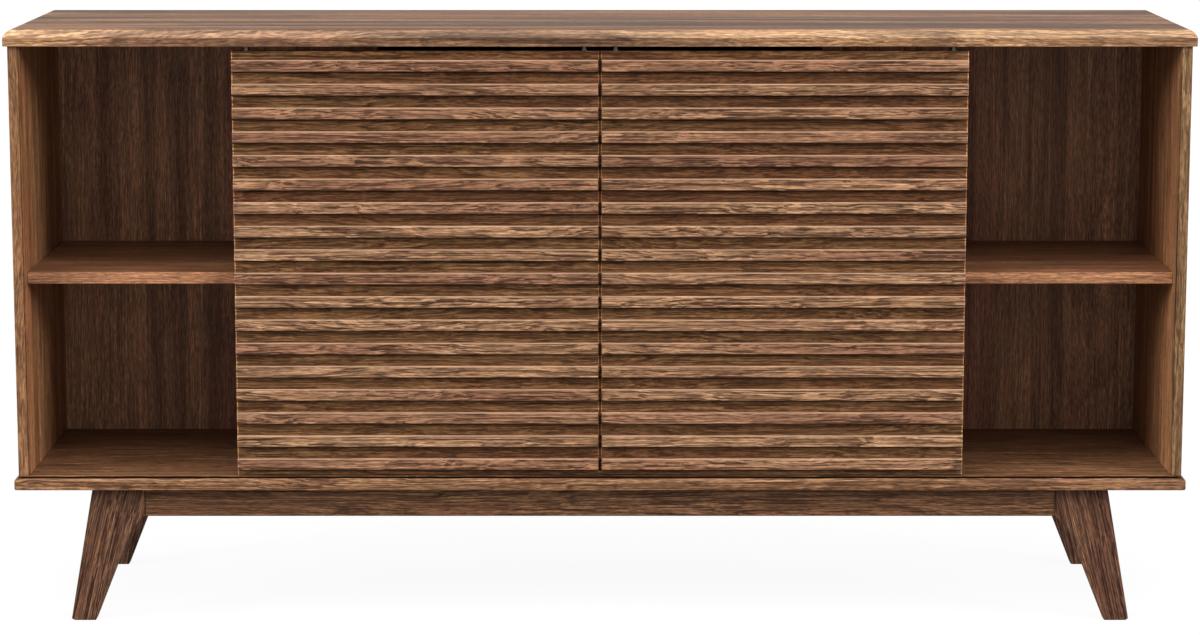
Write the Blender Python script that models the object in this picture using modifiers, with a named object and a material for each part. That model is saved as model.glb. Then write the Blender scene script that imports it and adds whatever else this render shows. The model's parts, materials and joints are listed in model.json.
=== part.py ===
"""Sideboard buffet: a three-bay case on four splayed legs, with two slatted sliding doors.

Metres, +Z up, front towards -Y. The origin is at the middle of the footprint, on the floor.
The doors are modelled at rest, where they meet at the middle of the case.
"""

import math

import bpy
import bmesh
from mathutils import Matrix, Vector

# Overall size
OVERALL_WIDTH = 1.600
OVERALL_DEPTH = 0.395
OVERALL_HEIGHT = 0.815

# Case boards
TOP_THICKNESS = 0.022
BASE_THICKNESS = 0.019
BOARD_OVERHANG = 0.006
SIDE_THICKNESS = 0.015
DIVIDER_THICKNESS = 0.015
SIDE_BAY_WIDTH = 0.4656
TOP_EDGE_ROUND = 0.011
BASE_EDGE_ROUND = 0.006
ROUND_PROFILE = 0.42
ROUND_SEGMENTS = 5
ARRIS = 0.0006

# Back panel, let into grooves in the boards around it
BACK_THICKNESS = 0.005
BACK_RECESS = 0.0475
BACK_GROOVE_DEPTH = 0.004

# Shelves
SHELF_THICKNESS = 0.016
SHELF_DOOR_CLEARANCE = 0.0072
SHELF_DROP = 0.309
PIN_HOLE_DIAMETER = 0.005
PIN_HOLE_DEPTH = 0.009
PIN_HOLE_PITCH = 0.032
PIN_HOLE_COUNT = 2
PIN_HOLE_BACKSET = 0.033
PIN_HOLE_SIDES = 12

# Sliding doors
DOOR_THICKNESS = 0.013
DOOR_GAP = 0.002
DOOR_TOP_GAP = 0.0066
DOOR_BOTTOM_GAP = 0.0012
DOOR_END_CLEARANCE = 0.0025
DOOR_OVERLAP = 0.0154
SLAT_COUNT = 18
SLAT_HEIGHT = 0.016
SLAT_THICKNESS = 0.0075
SLAT_FRONT_INSET = 0.001
SLAT_TOP_MARGIN = 0.0115
SLAT_BOTTOM_MARGIN = 0.0078
SLAT_INNER_SETBACK = 0.0015
SLAT_OUTER_SETBACK = 0.0004

# Track in the top board, and the hangers that run in it
TRACK_WIDTH = 0.015
TRACK_HEIGHT = 0.012
TRACK_WALL = 0.0014
TRACK_SLOT_CLEARANCE = 0.0006
CARRIAGE_LENGTH = 0.034
CARRIAGE_LIFT = 0.0007
CARRIAGE_HEADROOM = 0.0016
BOLT_DIAMETER = 0.006
BOLT_ENGAGEMENT = 0.020
BOLT_INSET = 0.020
BOLT_SIDES = 20

# Guide rail on the base board, in a groove in each door's lower edge
GUIDE_WIDTH = 0.005
GUIDE_RISE = 0.006
GUIDE_LET_IN = 0.003
GUIDE_END_INSET = 0.006
GUIDE_SIDE_CLEARANCE = 0.0006
GUIDE_HEADROOM = 0.002

# Legs and apron rails
LEG_HEIGHT = 0.187
LEG_THICKNESS = 0.020
LEG_SETBACK = 0.020
LEG_END_INSET = 0.1043
LEG_TOP_WIDTH = 0.0708
LEG_FOOT_WIDTH = 0.0337
LEG_SPLAY = 0.0333
LEG_KNEE_RUN = 0.0195
LEG_KNEE_EASE = 0.003
LEG_KNEE_SEGMENTS = 5
FOOT_CHAMFER_WIDTH = 0.0045
FOOT_CHAMFER_HEIGHT = 0.0022
APRON_HEIGHT = 0.0405
APRON_THICKNESS = 0.018
APRON_SETBACK = 0.002

# Gap between the faces of pieces that touch
FIT = 0.0003
# How far a cutter runs past the face that it opens
CUT_PAST = 0.002
# Edges that turn by more than this stay sharp
SHARP_ANGLE = math.radians(30)

# Levels, from the floor up
BASE_BOTTOM = LEG_HEIGHT
BASE_TOP = BASE_BOTTOM + BASE_THICKNESS
TOP_BOTTOM = OVERALL_HEIGHT - TOP_THICKNESS
SHELF_TOP = TOP_BOTTOM - SHELF_DROP
DOOR_BOTTOM = BASE_TOP + DOOR_BOTTOM_GAP
DOOR_TOP = TOP_BOTTOM - DOOR_TOP_GAP
GUIDE_TOP = BASE_TOP + GUIDE_RISE

# Places across the width, as distances from the middle
SIDE_OUTER = OVERALL_WIDTH / 2 - BOARD_OVERHANG
SIDE_INNER = SIDE_OUTER - SIDE_THICKNESS
DIVIDER_OUTER = SIDE_INNER - SIDE_BAY_WIDTH
DIVIDER_INNER = DIVIDER_OUTER - DIVIDER_THICKNESS
BACK_REACH = SIDE_INNER + BACK_GROOVE_DEPTH
# An open door stops short of the side panel and laps past the divider into the middle bay.
DOOR_INNER = DOOR_GAP / 2
DOOR_WIDTH = SIDE_INNER - DOOR_END_CLEARANCE - DIVIDER_INNER + DOOR_OVERLAP
DOOR_OUTER = DOOR_INNER + DOOR_WIDTH

# Places from front to back
BOARD_FRONT = -OVERALL_DEPTH / 2
BOARD_BACK = OVERALL_DEPTH / 2
CASE_FRONT = BOARD_FRONT + BOARD_OVERHANG
CASE_BACK = BOARD_BACK - BOARD_OVERHANG
BACK_FRONT = BOARD_BACK - BACK_RECESS - BACK_THICKNESS
BACK_BACK = BOARD_BACK - BACK_RECESS
SLAT_FRONT = BOARD_FRONT + SLAT_FRONT_INSET
DOOR_FRONT = SLAT_FRONT + SLAT_THICKNESS
DOOR_BACK = DOOR_FRONT + DOOR_THICKNESS
DOOR_MIDDLE = (DOOR_FRONT + DOOR_BACK) / 2
SHELF_FRONT = DOOR_BACK + SHELF_DOOR_CLEARANCE

SIDES = {"left": -1, "right": 1}


def clear_scene():
    for old in list(bpy.data.objects):
        bpy.data.objects.remove(old, do_unlink=True)


def new_collection(name):
    collection = bpy.data.collections.new(name)
    bpy.context.scene.collection.children.link(collection)
    return collection


def new_material(name, colour, roughness, metallic=0.0):
    material = bpy.data.materials.new(name)
    material.use_nodes = True
    shader = material.node_tree.nodes["Principled BSDF"]
    shader.inputs["Base Color"].default_value = (*colour, 1.0)
    shader.inputs["Roughness"].default_value = roughness
    shader.inputs["Metallic"].default_value = metallic
    return material


def move_to(obj, collection):
    for old in list(obj.users_collection):
        old.objects.unlink(obj)
    collection.objects.link(obj)


def finish_part(obj, name, finish):
    """Names the piece, gives it its own material and puts it with the parts."""
    obj.name = name
    obj.data.name = name
    colour, roughness, metallic = FINISHES[finish]
    obj.data.materials.clear()
    obj.data.materials.append(new_material(name + "_finish", colour, roughness, metallic))
    move_to(obj, PARTS)
    return obj


def finish_cutter(obj, name):
    obj.name = name
    obj.display_type = "WIRE"
    obj.hide_render = True
    move_to(obj, CUTTERS)
    return obj


def block(x_range, y_range, z_range):
    """A box between three pairs of coordinates, with its scale applied and its origin at its middle."""
    low = Vector((x_range[0], y_range[0], z_range[0]))
    high = Vector((x_range[1], y_range[1], z_range[1]))
    bpy.ops.mesh.primitive_cube_add(size=1.0, location=(low + high) / 2)
    obj = bpy.context.active_object
    obj.data.transform(Matrix.Diagonal((*(high - low), 1.0)))
    return obj


def rod(centre, radius, length, axis, sides):
    """A cylinder of this length about its centre, along the X or the Z axis."""
    rotation = (0.0, math.pi / 2, 0.0) if axis == "X" else (0.0, 0.0, 0.0)
    bpy.ops.mesh.primitive_cylinder_add(
        vertices=sides, radius=radius, depth=length, location=centre, rotation=rotation)
    return bpy.context.active_object


def flat_piece(outline, thickness, location, rotation):
    """A flat outline as a filled 2D curve, extruded to its thickness and made a welded mesh."""
    curve = bpy.data.curves.new("outline", "CURVE")
    curve.dimensions = "2D"
    curve.fill_mode = "BOTH"
    curve.extrude = thickness / 2
    spline = curve.splines.new("POLY")
    spline.points.add(len(outline) - 1)
    for point, (across, up) in zip(spline.points, outline):
        point.co = (across, up, 0.0, 1.0)
    spline.use_cyclic_u = True
    source = bpy.data.objects.new("outline", curve)
    source.location = location
    source.rotation_euler = rotation
    PARTS.objects.link(source)
    bpy.context.view_layer.update()
    evaluated = source.evaluated_get(bpy.context.evaluated_depsgraph_get())
    mesh = bpy.data.meshes.new_from_object(evaluated)
    obj = bpy.data.objects.new("outline", mesh)
    obj.matrix_world = source.matrix_world.copy()
    PARTS.objects.link(obj)
    bpy.data.objects.remove(source, do_unlink=True)
    shape = bmesh.new()
    shape.from_mesh(mesh)
    bmesh.ops.remove_doubles(shape, verts=shape.verts, dist=FIT / 10)
    bmesh.ops.recalc_face_normals(shape, faces=shape.faces)
    shape.to_mesh(mesh)
    shape.free()
    return obj


def ease_edges(obj, width=ARRIS):
    """A small flat on every sharp edge, as sanding leaves."""
    bevel = obj.modifiers.new("arris", "BEVEL")
    bevel.width = width
    bevel.segments = 1
    bevel.limit_method = "ANGLE"
    return bevel


def round_upper_edge(obj, width):
    """Rounds the edges around a board's upper face, and eases its upright corners."""
    shape = bmesh.new()
    shape.from_mesh(obj.data)
    weight = shape.edges.layers.float.new("bevel_weight_edge")
    highest = max(corner.co.z for corner in shape.verts)
    for edge in shape.edges:
        heights = [corner.co.z for corner in edge.verts]
        if min(heights) > highest - FIT:
            edge[weight] = 1.0
    shape.to_mesh(obj.data)
    shape.free()
    bevel = obj.modifiers.new("round", "BEVEL")
    bevel.width = width
    bevel.segments = ROUND_SEGMENTS
    bevel.profile = ROUND_PROFILE
    bevel.limit_method = "WEIGHT"
    return bevel


def combine(obj, other, operation):
    boolean = obj.modifiers.new(other.name, "BOOLEAN")
    boolean.object = other
    boolean.operation = operation
    boolean.solver = "EXACT"
    return boolean


def cut(obj, cutter, name):
    return combine(obj, finish_cutter(cutter, name), "DIFFERENCE")


def smooth(obj):
    """Smooth shading, with the edges of flat faces kept sharp."""
    obj.data.shade_smooth()
    obj.data.set_sharp_from_angle(angle=SHARP_ANGLE)


def ride_on(obj, carrier):
    """Parents a piece without moving it."""
    bpy.context.view_layer.update()
    obj.parent = carrier
    obj.matrix_parent_inverse = carrier.matrix_world.inverted()


def mirrored(low, high, side):
    """The range from low to high, on the side of the middle that side gives."""
    return tuple(sorted((side * low, side * high)))


def back_groove(obj, name, x_range, z_range):
    groove_y = (BACK_FRONT - FIT, BACK_BACK + FIT)
    cut(obj, block(x_range, groove_y, z_range), name + "_back_groove")


def full_board(bottom, top):
    """A board as wide and as deep as the whole sideboard."""
    return block((-OVERALL_WIDTH / 2, OVERALL_WIDTH / 2), (BOARD_FRONT, BOARD_BACK), (bottom, top))


def make_top_board():
    board = full_board(TOP_BOTTOM, OVERALL_HEIGHT)
    finish_part(board, "top_board", "top")
    round_upper_edge(board, TOP_EDGE_ROUND)
    track_y = (DOOR_MIDDLE - TRACK_WIDTH / 2 - FIT, DOOR_MIDDLE + TRACK_WIDTH / 2 + FIT)
    track_z = (TOP_BOTTOM - CUT_PAST, TOP_BOTTOM + TRACK_HEIGHT + FIT)
    cut(board, block((-SIDE_INNER, SIDE_INNER), track_y, track_z), "top_board_track_groove")
    groove_z = (TOP_BOTTOM - CUT_PAST, TOP_BOTTOM + BACK_GROOVE_DEPTH + FIT)
    back_groove(board, "top_board", (-BACK_REACH - FIT, BACK_REACH + FIT), groove_z)
    smooth(board)


def make_base_board():
    board = full_board(BASE_BOTTOM, BASE_TOP)
    finish_part(board, "base_board", "base")
    round_upper_edge(board, BASE_EDGE_ROUND)
    guide_x = DOOR_OUTER - GUIDE_END_INSET + FIT
    guide_y = (DOOR_MIDDLE - GUIDE_WIDTH / 2 - FIT, DOOR_MIDDLE + GUIDE_WIDTH / 2 + FIT)
    guide_z = (BASE_TOP - GUIDE_LET_IN - FIT, BASE_TOP + CUT_PAST)
    cut(board, block((-guide_x, guide_x), guide_y, guide_z), "base_board_guide_groove")
    groove_z = (BASE_TOP - BACK_GROOVE_DEPTH - FIT, BASE_TOP + CUT_PAST)
    back_groove(board, "base_board", (-BACK_REACH - FIT, BACK_REACH + FIT), groove_z)
    smooth(board)


def cut_pin_holes(panel, name, face, inward):
    """Shelf-pin holes above the shelf, drilled from a face along X. inward is the drilling direction."""
    first = SHELF_TOP - SHELF_THICKNESS + PIN_HOLE_PITCH
    for number in range(PIN_HOLE_COUNT):
        centre = (
            face + inward * (PIN_HOLE_DEPTH - CUT_PAST) / 2,
            BACK_FRONT - PIN_HOLE_BACKSET,
            first + number * PIN_HOLE_PITCH,
        )
        hole = rod(centre, PIN_HOLE_DIAMETER / 2, PIN_HOLE_DEPTH + CUT_PAST, "X", PIN_HOLE_SIDES)
        cut(panel, hole, "%s_pin_hole_%d" % (name, number + 1))


def make_side_panel(label, side):
    name = "side_panel_" + label
    panel = block(
        mirrored(SIDE_INNER, SIDE_OUTER, side), (CASE_FRONT, CASE_BACK), (BASE_TOP + FIT, TOP_BOTTOM - FIT))
    finish_part(panel, name, "side")
    ease_edges(panel)
    groove_x = mirrored(SIDE_INNER - CUT_PAST, SIDE_INNER + BACK_GROOVE_DEPTH + FIT, side)
    back_groove(panel, name, groove_x, (BASE_BOTTOM, OVERALL_HEIGHT))
    cut_pin_holes(panel, name, side * SIDE_INNER, side)


def make_divider(label, side):
    name = "divider_" + label
    panel = block(
        mirrored(DIVIDER_INNER, DIVIDER_OUTER, side),
        (SHELF_FRONT, BACK_FRONT - FIT),
        (BASE_TOP + FIT, TOP_BOTTOM - FIT),
    )
    finish_part(panel, name, "side")
    ease_edges(panel)


def make_back_panel():
    panel = block(
        (-BACK_REACH, BACK_REACH),
        (BACK_FRONT, BACK_BACK),
        (BASE_TOP - BACK_GROOVE_DEPTH, TOP_BOTTOM + BACK_GROOVE_DEPTH),
    )
    finish_part(panel, "back_panel", "back")


def make_shelf(label, x_low, x_high):
    shelf = block(
        (x_low + FIT, x_high - FIT),
        (SHELF_FRONT, BACK_FRONT - FIT),
        (SHELF_TOP - SHELF_THICKNESS, SHELF_TOP),
    )
    finish_part(shelf, "shelf_" + label, "shelf")
    ease_edges(shelf)


def leg_outline(side):
    """Front view of a leg, from its outer top corner round: foot, inner edge, knee and upright at the apron.

    The knee is a 45 degree run from the apron's lower edge to the inner edge, eased by an arc where they meet.
    """
    outer_top = OVERALL_WIDTH / 2 - LEG_END_INSET
    inner_top = outer_top - LEG_TOP_WIDTH
    outer_foot = outer_top + LEG_SPLAY
    inner_foot = outer_foot - LEG_FOOT_WIDTH
    top = LEG_HEIGHT - FIT
    apron_bottom = LEG_HEIGHT - APRON_HEIGHT
    knee = Vector((inner_top + LEG_KNEE_RUN, apron_bottom - LEG_KNEE_RUN))
    to_foot = (Vector((inner_foot, 0.0)) - knee).normalized()
    to_apron = (Vector((inner_top, apron_bottom)) - knee).normalized()
    start = knee + LEG_KNEE_EASE * to_foot
    end = knee + LEG_KNEE_EASE * to_apron
    half_turn = to_foot.angle(to_apron) / 2
    centre = knee + (to_foot + to_apron).normalized() * LEG_KNEE_EASE / math.cos(half_turn)
    first = math.atan2(start.y - centre.y, start.x - centre.x)
    last = math.atan2(end.y - centre.y, end.x - centre.x)
    turn = math.remainder(last - first, 2 * math.pi)
    radius = (start - centre).length
    arc = []
    for step in range(LEG_KNEE_SEGMENTS + 1):
        angle = first + turn * step / LEG_KNEE_SEGMENTS
        arc.append((centre.x + radius * math.cos(angle), centre.y + radius * math.sin(angle)))
    lean = LEG_SPLAY * FOOT_CHAMFER_HEIGHT / LEG_HEIGHT
    points = [
        (outer_top, top),
        (outer_foot - lean, FOOT_CHAMFER_HEIGHT),
        (outer_foot - FOOT_CHAMFER_WIDTH, 0.0),
        (inner_foot, 0.0),
        *arc,
        (inner_top, apron_bottom),
        (inner_top, top),
    ]
    return [(side * across, up) for across, up in points]


def make_leg(row, label, side, middle_y):
    leg = flat_piece(leg_outline(side), LEG_THICKNESS, (0.0, middle_y, 0.0), (math.pi / 2, 0.0, 0.0))
    finish_part(leg, "leg_%s_%s" % (row, label), "leg")


def make_apron(row, middle_y):
    reach = OVERALL_WIDTH / 2 - LEG_END_INSET - LEG_TOP_WIDTH - FIT
    apron = block(
        (-reach, reach),
        (middle_y - APRON_THICKNESS / 2, middle_y + APRON_THICKNESS / 2),
        (LEG_HEIGHT - APRON_HEIGHT, LEG_HEIGHT - FIT),
    )
    finish_part(apron, "apron_" + row, "base")
    ease_edges(apron)


def make_undercarriage():
    """Legs and aprons at the front, and the same turned about at the rear."""
    rows = {"front": -1, "rear": 1}
    for row, facing in rows.items():
        leg_outer_face = BOARD_BACK - LEG_SETBACK
        leg_middle = facing * (leg_outer_face - LEG_THICKNESS / 2)
        apron_middle = facing * (leg_outer_face - APRON_SETBACK - APRON_THICKNESS / 2)
        for label, side in SIDES.items():
            make_leg(row, label, side, leg_middle)
        make_apron(row, apron_middle)


def make_track():
    """A channel that opens downwards through a slot between two lips."""
    half = TRACK_WIDTH / 2
    inside = half - TRACK_WALL
    slot = BOLT_DIAMETER / 2 + TRACK_SLOT_CLEARANCE
    profile = [
        (slot, 0.0),
        (half, 0.0),
        (half, TRACK_HEIGHT),
        (-half, TRACK_HEIGHT),
        (-half, 0.0),
        (-slot, 0.0),
        (-slot, TRACK_WALL),
        (-inside, TRACK_WALL),
        (-inside, TRACK_HEIGHT - TRACK_WALL),
        (inside, TRACK_HEIGHT - TRACK_WALL),
        (inside, TRACK_WALL),
        (slot, TRACK_WALL),
    ]
    length = 2 * (SIDE_INNER - FIT)
    track = flat_piece(profile, length, (0.0, DOOR_MIDDLE, TOP_BOTTOM), (math.pi / 2, 0.0, math.pi / 2))
    finish_part(track, "door_track", "steel")


def make_guide_rail():
    """A low rail under both doors. Each door stays over one end of it through its whole travel."""
    reach = DOOR_OUTER - GUIDE_END_INSET
    rail = block(
        (-reach, reach),
        (DOOR_MIDDLE - GUIDE_WIDTH / 2, DOOR_MIDDLE + GUIDE_WIDTH / 2),
        (BASE_TOP - GUIDE_LET_IN, GUIDE_TOP),
    )
    finish_part(rail, "door_guide_rail", "plastic")
    ease_edges(rail)


def make_door_panel(label, side):
    name = "door_%s_panel" % label
    panel = block(mirrored(DOOR_INNER, DOOR_OUTER, side), (DOOR_FRONT, DOOR_BACK), (DOOR_BOTTOM, DOOR_TOP))
    finish_part(panel, name, "door")
    groove_half = GUIDE_WIDTH / 2 + GUIDE_SIDE_CLEARANCE
    groove = block(
        mirrored(DOOR_INNER - CUT_PAST, DOOR_OUTER + CUT_PAST, side),
        (DOOR_MIDDLE - groove_half, DOOR_MIDDLE + groove_half),
        (DOOR_BOTTOM - CUT_PAST, GUIDE_TOP + GUIDE_HEADROOM),
    )
    cut(panel, groove, name + "_guide_groove")
    for place, across in bolt_places(side).items():
        hole_bottom = DOOR_TOP - BOLT_ENGAGEMENT - FIT
        hole_top = DOOR_TOP + CUT_PAST
        centre = (across, DOOR_MIDDLE, (hole_bottom + hole_top) / 2)
        hole = rod(centre, BOLT_DIAMETER / 2, hole_top - hole_bottom, "Z", BOLT_SIDES)
        cut(panel, hole, "%s_bolt_hole_%s" % (name, place))
    return panel


def make_slats(label, side):
    """Slats evenly spaced between the margins at the top and the bottom of the door."""
    highest = DOOR_TOP - SLAT_TOP_MARGIN
    lowest = DOOR_BOTTOM + SLAT_BOTTOM_MARGIN
    pitch = (highest - lowest - SLAT_HEIGHT) / (SLAT_COUNT - 1)
    x_range = mirrored(DOOR_INNER + SLAT_INNER_SETBACK, DOOR_OUTER - SLAT_OUTER_SETBACK, side)
    slats = []
    for number in range(SLAT_COUNT):
        top = highest - number * pitch
        slat = block(x_range, (SLAT_FRONT, DOOR_FRONT - FIT), (top - SLAT_HEIGHT, top))
        finish_part(slat, "door_%s_slat_%02d" % (label, number + 1), "slat")
        ease_edges(slat)
        slats.append(slat)
    return slats


def bolt_places(side):
    return {"inner": side * (DOOR_INNER + BOLT_INSET), "outer": side * (DOOR_OUTER - BOLT_INSET)}


def make_hanger(label, place, across):
    """A carriage inside the track, with a bolt down through the slot into the door's upper edge."""
    name = "door_%s_hanger_%s" % (label, place)
    carriage_bottom = TOP_BOTTOM + TRACK_WALL + CARRIAGE_LIFT
    carriage_top = TOP_BOTTOM + TRACK_HEIGHT - TRACK_WALL - CARRIAGE_HEADROOM
    carriage = block(
        (across - CARRIAGE_LENGTH / 2, across + CARRIAGE_LENGTH / 2),
        (DOOR_MIDDLE - BOLT_DIAMETER / 2, DOOR_MIDDLE + BOLT_DIAMETER / 2),
        (carriage_bottom, carriage_top),
    )
    finish_part(carriage, name, "steel")
    bolt_bottom = DOOR_TOP - BOLT_ENGAGEMENT
    bolt_top = (carriage_bottom + carriage_top) / 2
    centre = (across, DOOR_MIDDLE, (bolt_bottom + bolt_top) / 2)
    # The carriage is as wide as the bolt's nominal size, and the bolt a hair slimmer, so no faces graze.
    bolt = rod(centre, BOLT_DIAMETER / 2 - FIT, bolt_top - bolt_bottom, "Z", BOLT_SIDES)
    combine(carriage, finish_cutter(bolt, name + "_bolt"), "UNION")
    smooth(carriage)
    return carriage


def make_door(label, side):
    """One door: panel, slats and hangers, carried by an empty on its track line."""
    carrier = bpy.data.objects.new("door_%s_carrier" % label, None)
    carrier.location = (side * (DOOR_INNER + DOOR_OUTER) / 2, DOOR_MIDDLE, TOP_BOTTOM)
    PARTS.objects.link(carrier)
    pieces = [make_door_panel(label, side)]
    pieces.extend(make_slats(label, side))
    for place, across in bolt_places(side).items():
        pieces.append(make_hanger(label, place, across))
    for piece in pieces:
        ride_on(piece, carrier)


def make_case():
    make_top_board()
    make_base_board()
    make_back_panel()
    for label, side in SIDES.items():
        make_side_panel(label, side)
        make_divider(label, side)
        x_range = mirrored(DIVIDER_OUTER, SIDE_INNER, side)
        make_shelf(label, *x_range)
    make_shelf("centre", -DIVIDER_INNER, DIVIDER_INNER)


# Finishes: colour, roughness and metallic value
FINISHES = {
    "top": ((0.170, 0.098, 0.060), 0.42, 0.0),
    "base": ((0.105, 0.054, 0.030), 0.48, 0.0),
    "side": ((0.150, 0.080, 0.038), 0.48, 0.0),
    "back": ((0.085, 0.046, 0.026), 0.55, 0.0),
    "shelf": ((0.165, 0.078, 0.036), 0.46, 0.0),
    "door": ((0.080, 0.040, 0.022), 0.52, 0.0),
    "slat": ((0.190, 0.092, 0.048), 0.45, 0.0),
    "leg": ((0.110, 0.058, 0.034), 0.48, 0.0),
    "steel": ((0.560, 0.560, 0.570), 0.32, 1.0),
    "plastic": ((0.060, 0.038, 0.026), 0.55, 0.0),
}

clear_scene()
PARTS = new_collection("sideboard_buffet")
CUTTERS = new_collection("sideboard_cutters")
make_case()
make_undercarriage()
make_track()
make_guide_rail()
for side_label, side_sign in SIDES.items():
    make_door(side_label, side_sign)
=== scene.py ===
# Looks for a three-bay walnut sideboard with two slatted sliding doors.
# Metres, +Z up, front towards -Y, origin on the floor under the middle.
import json
import math

import bmesh
import bpy
import numpy as np
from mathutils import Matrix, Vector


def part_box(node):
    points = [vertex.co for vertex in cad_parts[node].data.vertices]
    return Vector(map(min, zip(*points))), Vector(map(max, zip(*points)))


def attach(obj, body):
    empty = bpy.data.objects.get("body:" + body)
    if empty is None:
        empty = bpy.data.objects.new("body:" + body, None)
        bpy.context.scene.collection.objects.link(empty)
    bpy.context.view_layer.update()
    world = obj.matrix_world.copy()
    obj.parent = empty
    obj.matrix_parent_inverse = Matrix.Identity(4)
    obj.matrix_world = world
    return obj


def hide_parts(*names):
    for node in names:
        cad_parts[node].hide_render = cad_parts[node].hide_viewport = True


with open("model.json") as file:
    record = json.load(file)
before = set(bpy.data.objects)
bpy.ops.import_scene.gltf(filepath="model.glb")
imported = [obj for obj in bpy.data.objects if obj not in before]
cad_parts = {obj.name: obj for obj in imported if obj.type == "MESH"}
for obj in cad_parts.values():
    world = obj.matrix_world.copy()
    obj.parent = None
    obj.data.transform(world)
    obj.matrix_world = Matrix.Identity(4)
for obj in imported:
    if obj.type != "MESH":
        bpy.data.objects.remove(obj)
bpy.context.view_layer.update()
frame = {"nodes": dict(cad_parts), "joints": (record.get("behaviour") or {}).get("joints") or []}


print("frame loaded:", len(frame["nodes"]), "nodes")


# node helpers
def addNode(tree, kind, **settings):
    node = tree.nodes.new(kind)
    for key, value in settings.items():
        setattr(node, key, value)
    return node


def feed(tree, socket, value):
    # a socket is linked, anything else is the socket's own value
    if isinstance(value, bpy.types.NodeSocket):
        tree.links.new(value, socket)
    else:
        socket.default_value = value


def maths(tree, operation, *values):
    node = addNode(tree, "ShaderNodeMath", operation=operation)
    for socket, value in zip(node.inputs, values):
        feed(tree, socket, value)
    return node.outputs[0]


def vectors(tree, operation, *values):
    node = addNode(tree, "ShaderNodeVectorMath", operation=operation)
    for socket, value in zip(node.inputs, values):
        feed(tree, socket, value)
    return node.outputs["Vector"]


def joined(tree, x, y, z):
    node = addNode(tree, "ShaderNodeCombineXYZ")
    for socket, value in zip(node.inputs, (x, y, z)):
        feed(tree, socket, value)
    return node.outputs[0]


def noise(tree, place, scales, detail=2.0, roughness=0.5):
    # smooth noise with its own number of features per metre along each axis
    node = addNode(tree, "ShaderNodeTexNoise")
    feed(tree, node.inputs["Vector"], vectors(tree, "MULTIPLY", place, scales))
    node.inputs["Scale"].default_value = 1.0
    node.inputs["Detail"].default_value = detail
    node.inputs["Roughness"].default_value = roughness
    return node.outputs[0]


def spread(tree, value, low, high, newLow=0.0, newHigh=1.0):
    # low..high of the value becomes newLow..newHigh, with soft ends
    node = addNode(tree, "ShaderNodeMapRange", interpolation_type="SMOOTHSTEP")
    for socket, number in zip(node.inputs, (value, low, high, newLow, newHigh)):
        feed(tree, socket, number)
    return node.outputs[0]


def mixed(tree, factor, first, second, blend="MIX"):
    node = addNode(tree, "ShaderNodeMix", data_type="RGBA", blend_type=blend)
    for index, value in ((0, factor), (6, first), (7, second)):
        feed(tree, node.inputs[index], value)
    return node.outputs[2]


def newGroup(name, inputs, outputs):
    group = bpy.data.node_groups.new(name, "ShaderNodeTree")
    for way, sockets in (("INPUT", inputs), ("OUTPUT", outputs)):
        for label, kind in sockets:
            group.interface.new_socket(label, in_out=way, socket_type="NodeSocket" + kind)
    given = addNode(group, "NodeGroupInput").outputs
    made = addNode(group, "NodeGroupOutput").inputs
    return group, given, made


def placeGroup(tree, group, **values):
    node = addNode(tree, "ShaderNodeGroup", node_tree=group)
    for label, value in values.items():
        feed(tree, node.inputs[label], value)
    return node.outputs


def newMaterial(name):
    material = bpy.data.materials.new(name)
    material.use_nodes = True
    tree = material.node_tree
    return material, tree, tree.nodes["Principled BSDF"]


def objectPlace(tree):
    return addNode(tree, "ShaderNodeTexCoord").outputs["Object"]


def axes(tree, place):
    node = addNode(tree, "ShaderNodeSeparateXYZ")
    feed(tree, node.inputs[0], place)
    return node.outputs


def addBump(tree, shader, height, strength, distance):
    bump = addNode(tree, "ShaderNodeBump")
    bump.inputs["Strength"].default_value = strength
    bump.inputs["Distance"].default_value = distance
    feed(tree, bump.inputs["Height"], height)
    feed(tree, shader.inputs["Normal"], bump.outputs[0])


def opaque(colour):
    return (*colour, 1.0)


# Wood figure. Each noise has its features per metre along and across the grain, then its own
# detail and roughness.
figureNoises = {
    "wobble": dict(along=16.0, across=8.0, detail=2.0, roughness=0.5),
    "hair": dict(along=5.0, across=600.0, detail=2.0, roughness=0.55),
    "streak": dict(along=4.0, across=390.0, detail=2.0, roughness=0.6),
    "fleck": dict(along=85.0, across=620.0, detail=1.0, roughness=0.5),
    "fibre": dict(along=15.0, across=1150.0, detail=2.0, roughness=0.5),
    "drift": dict(along=1.1, across=11.0, detail=2.0, roughness=0.5),
    "pore": dict(along=55.0, across=2300.0, detail=1.0, roughness=0.5),
}
figure = dict(
    seedStep=(1.73, 2.91, 0.67), ripple=(2.6, 3.4, 3.4), sway=0.0060, flow=0.9, rippleShare=0.22,
    streakShare=0.7, lineRise=3.0, lineEnd=0.92, poreShare=0.45, fibreHeight=0.5, streakHeight=0.5,
    poreDepth=0.8, lineDepth=0.35,
    # from which value of its noise to which a mark grows, then how it scales the colour
    streaks=(0.42, 0.58), drifts=(0.36, 0.64), hairs=(0.51, 0.58), pores=(0.60, 0.70),
    fibres=(0.25, 0.75, 0.72, 1.28), flecks=(0.35, 0.65, 0.74, 1.26), bands=(0.38, 0.62, -0.5, 0.5))


def figureNoise(group, place, name):
    kind = figureNoises[name]
    scales = (kind["along"], kind["across"], kind["across"])
    return noise(group, place, scales, kind["detail"], kind["roughness"])


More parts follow.
